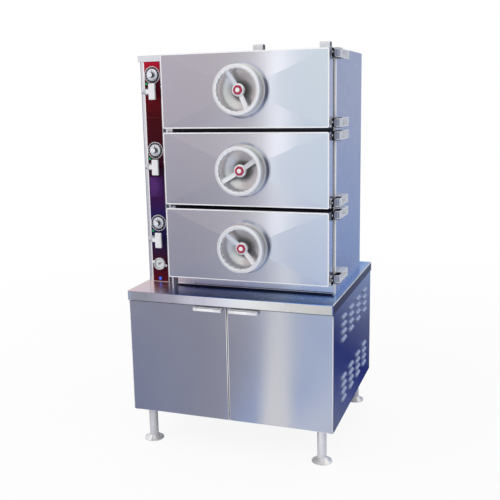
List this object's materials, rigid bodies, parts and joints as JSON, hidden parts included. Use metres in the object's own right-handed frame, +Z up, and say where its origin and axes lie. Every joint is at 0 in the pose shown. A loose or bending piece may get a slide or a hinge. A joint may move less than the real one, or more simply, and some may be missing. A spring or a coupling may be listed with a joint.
{
  "type": "pressure steamer",
  "caption": "Floor-standing pressure steamer: stacked compartments with handwheel doors on a cabinet base with flanged feet, and a control column at the left.",
  "frame": {"origin": "on the floor, at the middle of the foot flanges' bolt pattern, which is the middle of the cabinet base", "axes": "+X to the right of a user who faces the doors, +Y to the back, +Z up"},
  "size_m": [0.929, 0.871, 1.733],
  "materials": {
    "stainless": "brushed",
    "hinge_steel": "satin",
    "frame_steel": "mill finish",
    "cast_wheel": "polished casting",
    "bright_steel": "machined",
    "red_cap": "gloss",
    "gasket_rubber": "matt",
    "overlay_film": "printed film",
    "knob_chrome": "polished",
    "green_lens": "translucent",
    "paddle_white": "satin",
    "needle_black": "matt",
    "blue_button": "gloss",
    "boiler_paint": "heat resistant",
    "pipe_brass": "plain"
  },
  "bodies": {
    "root": {"worktop": "stainless", "cabinet_frame": "frame_steel", "cabinet_panels": "stainless", "leg_tubes": "stainless", "body_casing": "stainless", "body_front": "stainless", "chamber_1": "frame_steel", "chamber_2": "frame_steel", "chamber_3": "frame_steel", "pan_runners": "frame_steel", "lifting_straps": "stainless", "hinge_brackets": "hinge_steel", "hinge_pins": "bright_steel", "latch_post": "bright_steel", "control_column": "stainless", "column_cap": "stainless", "control_panel": "overlay_film", "pilot_lamps": "green_lens", "lever_brackets": "bright_steel", "gauge_case": "bright_steel", "boiler": "boiler_paint", "steam_pipes": "pipe_brass", "drain_pipes": "frame_steel", "water_inlet": "pipe_brass", "control_box": "boiler_paint"},
    "door_1": {"door_shell_1": "stainless"},
    "press_1": {"door_plate_1": "frame_steel", "gasket_1": "gasket_rubber"},
    "wheel_1": {"handwheel_1": "cast_wheel", "spindle_1": "bright_steel", "wheel_cap_1": "red_cap"},
    "hook_1": {"latch_1": "hinge_steel"},
    "timer_1": {"timer_knob_1": "knob_chrome"},
    "lever_1": {"steam_lever_1": "paddle_white"},
    "door_2": {"door_shell_2": "stainless"},
    "press_2": {"door_plate_2": "frame_steel", "gasket_2": "gasket_rubber"},
    "wheel_2": {"handwheel_2": "cast_wheel", "spindle_2": "bright_steel", "wheel_cap_2": "red_cap"},
    "hook_2": {"latch_2": "hinge_steel"},
    "timer_2": {"timer_knob_2": "knob_chrome"},
    "lever_2": {"steam_lever_2": "paddle_white"},
    "door_3": {"door_shell_3": "stainless"},
    "press_3": {"door_plate_3": "frame_steel", "gasket_3": "gasket_rubber"},
    "wheel_3": {"handwheel_3": "cast_wheel", "spindle_3": "bright_steel", "wheel_cap_3": "red_cap"},
    "hook_3": {"latch_3": "hinge_steel"},
    "timer_3": {"timer_knob_3": "knob_chrome"},
    "lever_3": {"steam_lever_3": "paddle_white"},
    "needle": {"gauge_needle": "needle_black"},
    "button": {"power_button": "blue_button"},
    "left_door": {"cabinet_door_left": "stainless"},
    "right_door": {"cabinet_door_right": "stainless"},
    "front_left_foot": {"foot_front_left": "stainless"},
    "front_right_foot": {"foot_front_right": "stainless"},
    "back_left_foot": {"foot_back_left": "stainless"},
    "back_right_foot": {"foot_back_right": "stainless"}
  },
  "joints": [
    {"name": "door_1_swing", "type": "hinge", "parent": "root", "child": "door_1", "pos_m": [0.441, -0.277, 1.551], "axis": [0, 0, 1], "range_deg": [0, 170]},
    {"name": "press_1_travel", "type": "slide", "parent": "door_1", "child": "press_1", "axis": [0, 1, 0], "range_m": [0, 0.008]},
    {"name": "wheel_1_turn", "type": "hinge", "parent": "press_1", "child": "wheel_1", "pos_m": [0.071, -0.42, 1.551], "axis": [0, 1, 0], "range_deg": [0, 360]},
    {"name": "hook_1_swing", "type": "hinge", "parent": "door_1", "child": "hook_1", "pos_m": [-0.243, -0.343, 1.58], "axis": [0, 0, 1], "range_deg": [0, 25]},
    {"name": "timer_1_turn", "type": "hinge", "parent": "root", "child": "timer_1", "pos_m": [-0.388, -0.2265, 1.625], "axis": [0, 1, 0], "range_deg": [0, 300]},
    {"name": "lever_1_swing", "type": "hinge", "parent": "root", "child": "lever_1", "pos_m": [-0.401, -0.2505, 1.554], "axis": [1, 0, 0], "range_deg": [0, 40]},
    {"name": "door_2_swing", "type": "hinge", "parent": "root", "child": "door_2", "pos_m": [0.441, -0.277, 1.234], "axis": [0, 0, 1], "range_deg": [0, 170]},
    {"name": "press_2_travel", "type": "slide", "parent": "door_2", "child": "press_2", "axis": [0, 1, 0], "range_m": [0, 0.008]},
    {"name": "wheel_2_turn", "type": "hinge", "parent": "press_2", "child": "wheel_2", "pos_m": [0.071, -0.42, 1.234], "axis": [0, 1, 0], "range_deg": [0, 360]},
    {"name": "hook_2_swing", "type": "hinge", "parent": "door_2", "child": "hook_2", "pos_m": [-0.243, -0.343, 1.263], "axis": [0, 0, 1], "range_deg": [0, 25]},
    {"name": "timer_2_turn", "type": "hinge", "parent": "root", "child": "timer_2", "pos_m": [-0.388, -0.2265, 1.3015], "axis": [0, 1, 0], "range_deg": [0, 300]},
    {"name": "lever_2_swing", "type": "hinge", "parent": "root", "child": "lever_2", "pos_m": [-0.401, -0.2505, 1.2305], "axis": [1, 0, 0], "range_deg": [0, 40]},
    {"name": "door_3_swing", "type": "hinge", "parent": "root", "child": "door_3", "pos_m": [0.441, -0.277, 0.917], "axis": [0, 0, 1], "range_deg": [0, 170]},
    {"name": "press_3_travel", "type": "slide", "parent": "door_3", "child": "press_3", "axis": [0, 1, 0], "range_m": [0, 0.008]},
    {"name": "wheel_3_turn", "type": "hinge", "parent": "press_3", "child": "wheel_3", "pos_m": [0.071, -0.42, 0.917], "axis": [0, 1, 0], "range_deg": [0, 360]},
    {"name": "hook_3_swing", "type": "hinge", "parent": "door_3", "child": "hook_3", "pos_m": [-0.243, -0.343, 0.946], "axis": [0, 0, 1], "range_deg": [0, 25]},
    {"name": "timer_3_turn", "type": "hinge", "parent": "root", "child": "timer_3", "pos_m": [-0.388, -0.2265, 0.978], "axis": [0, 1, 0], "range_deg": [0, 300]},
    {"name": "lever_3_swing", "type": "hinge", "parent": "root", "child": "lever_3", "pos_m": [-0.401, -0.2505, 0.907], "axis": [1, 0, 0], "range_deg": [0, 40]},
    {"name": "needle_turn", "type": "hinge", "parent": "root", "child": "needle", "pos_m": [-0.388, -0.2345, 0.792], "axis": [0, 1, 0], "range_deg": [-187, 83]},
    {"name": "button_press", "type": "slide", "parent": "root", "child": "button", "axis": [0, 1, 0], "range_m": [0, 0.0025], "stiffness_N_per_m": 400},
    {"name": "left_door_swing", "type": "hinge", "parent": "root", "child": "left_door", "pos_m": [-0.4485, -0.396, 0.41], "axis": [0, 0, -1], "range_deg": [0, 110]},
    {"name": "right_door_swing", "type": "hinge", "parent": "root", "child": "right_door", "pos_m": [0.4485, -0.396, 0.41], "axis": [0, 0, 1], "range_deg": [0, 110]},
    {"name": "front_left_foot_slide", "type": "slide", "parent": "root", "child": "front_left_foot", "axis": [0, 0, -1], "range_m": [0, 0.025]},
    {"name": "front_right_foot_slide", "type": "slide", "parent": "root", "child": "front_right_foot", "axis": [0, 0, -1], "range_m": [0, 0.025]},
    {"name": "back_left_foot_slide", "type": "slide", "parent": "root", "child": "back_left_foot", "axis": [0, 0, -1], "range_m": [0, 0.025]},
    {"name": "back_right_foot_slide", "type": "slide", "parent": "root", "child": "back_right_foot", "axis": [0, 0, -1], "range_m": [0, 0.025]}
  ],
  "couplings": [
    {"joint": "press_1_travel", "follows": "wheel_1_turn", "m_per_rad": 0.0012732},
    {"joint": "hook_1_swing", "follows": "wheel_1_turn", "ratio": 0.069444},
    {"joint": "press_2_travel", "follows": "wheel_2_turn", "m_per_rad": 0.0012732},
    {"joint": "hook_2_swing", "follows": "wheel_2_turn", "ratio": 0.069444},
    {"joint": "press_3_travel", "follows": "wheel_3_turn", "m_per_rad": 0.0012732},
    {"joint": "hook_3_swing", "follows": "wheel_3_turn", "ratio": 0.069444}
  ]
}
